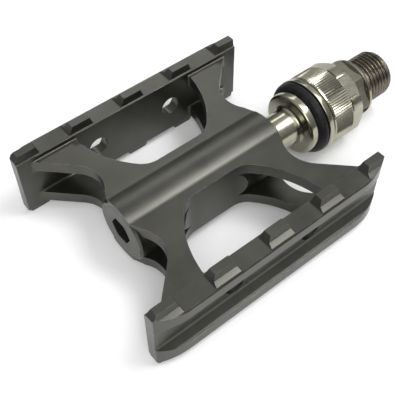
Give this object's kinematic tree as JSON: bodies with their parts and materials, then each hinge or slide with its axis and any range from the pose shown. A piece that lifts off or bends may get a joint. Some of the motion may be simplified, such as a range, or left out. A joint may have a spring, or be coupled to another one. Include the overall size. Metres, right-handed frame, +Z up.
{
  "type": "flat pedal",
  "caption": "Flat bicycle pedal: a milled aluminium platform with toothed side rails, spinning on a spindle that plugs into a quick-release crank adapter with a sliding locking sleeve.",
  "frame": {"origin": "the middle of the adapter's face that seats against the crank arm, on the spindle's axis", "axes": "+X along the spindle towards the crank arm, +Z up through the platform, +Y along the bicycle"},
  "size_m": [0.1085, 0.068, 0.023],
  "materials": {
    "anodised_aluminium": "hard-anodised dark grey, fine blasted texture, faint wear on the edges",
    "nickel_plated_steel": "satin nickel plate with a slight champagne tint; knurled on the sleeve",
    "bearing_steel": "ground and polished bearing steel",
    "blackened_steel": "blackened steel, slightly oily",
    "black_rubber": "black rubber, satin",
    "bronze_cage": "machined bronze"
  },
  "bodies": {
    "adapter": {"crank_adapter": "nickel_plated_steel", "sleeve_retaining_ring": "nickel_plated_steel", "sleeve_spring": "bearing_steel", "spring_seat": "bearing_steel"},
    "sleeve": {"locking_sleeve": "nickel_plated_steel"},
    "ball_1": {"locking_ball_1": "bearing_steel"},
    "ball_2": {"locking_ball_2": "bearing_steel"},
    "ball_3": {"locking_ball_3": "bearing_steel"},
    "spindle": {"spindle": "nickel_plated_steel", "spindle_washer": "bearing_steel", "spindle_lock_nut": "blackened_steel", "bumper_ring": "black_rubber", "ball_bearing_inner_race": "bearing_steel"},
    "ball_cage": {"ball_bearing_cage_and_balls": "bronze_cage"},
    "needle_cage": {"needle_bearing_cage_and_needles": "bronze_cage"},
    "pedal": {"pedal_body": "anodised_aluminium", "end_cap": "anodised_aluminium", "end_cap_o_ring": "black_rubber", "ball_bearing_outer_race": "bearing_steel", "needle_bearing_shell": "bearing_steel", "inboard_seal": "black_rubber"}
  },
  "joints": [
    {"name": "sleeve_slide", "type": "slide", "parent": "adapter", "child": "sleeve", "axis": [1, 0, 0], "range_m": [0, 0.003], "stiffness_N_per_m": 900, "springref_m": -0.003, "deforming": ["sleeve_spring"]},
    {"name": "ball_1_lift", "type": "slide", "parent": "adapter", "child": "ball_1", "axis": [0, 0, 1], "range_m": [0, 0.0008]},
    {"name": "ball_2_lift", "type": "slide", "parent": "adapter", "child": "ball_2", "axis": [0, -0.866, -0.5], "range_m": [0, 0.0008]},
    {"name": "ball_3_lift", "type": "slide", "parent": "adapter", "child": "ball_3", "axis": [0, 0.866, -0.5], "range_m": [0, 0.0008]},
    {"name": "release_slide", "type": "slide", "parent": "adapter", "child": "spindle", "axis": [-1, 0, 0], "range_m": [0, 0.018]},
    {"name": "pedal_spin", "type": "hinge", "parent": "spindle", "child": "pedal", "pos_m": [-0.0603, 0, 0], "axis": [1, 0, 0], "continuous": true},
    {"name": "ball_cage_turn", "type": "hinge", "parent": "spindle", "child": "ball_cage", "pos_m": [-0.0731, 0, 0], "axis": [1, 0, 0], "continuous": true},
    {"name": "needle_cage_turn", "type": "hinge", "parent": "spindle", "child": "needle_cage", "pos_m": [-0.0431, 0, 0], "axis": [1, 0, 0], "continuous": true}
  ],
  "couplings": [
    {"joint": "ball_1_lift", "follows": "sleeve_slide", "ratio": 0.2666},
    {"joint": "ball_2_lift", "follows": "sleeve_slide", "ratio": 0.2666},
    {"joint": "ball_3_lift", "follows": "sleeve_slide", "ratio": 0.2666},
    {"joint": "ball_cage_turn", "follows": "pedal_spin", "ratio": 0.57},
    {"joint": "needle_cage_turn", "follows": "pedal_spin", "ratio": 0.56}
  ]
}
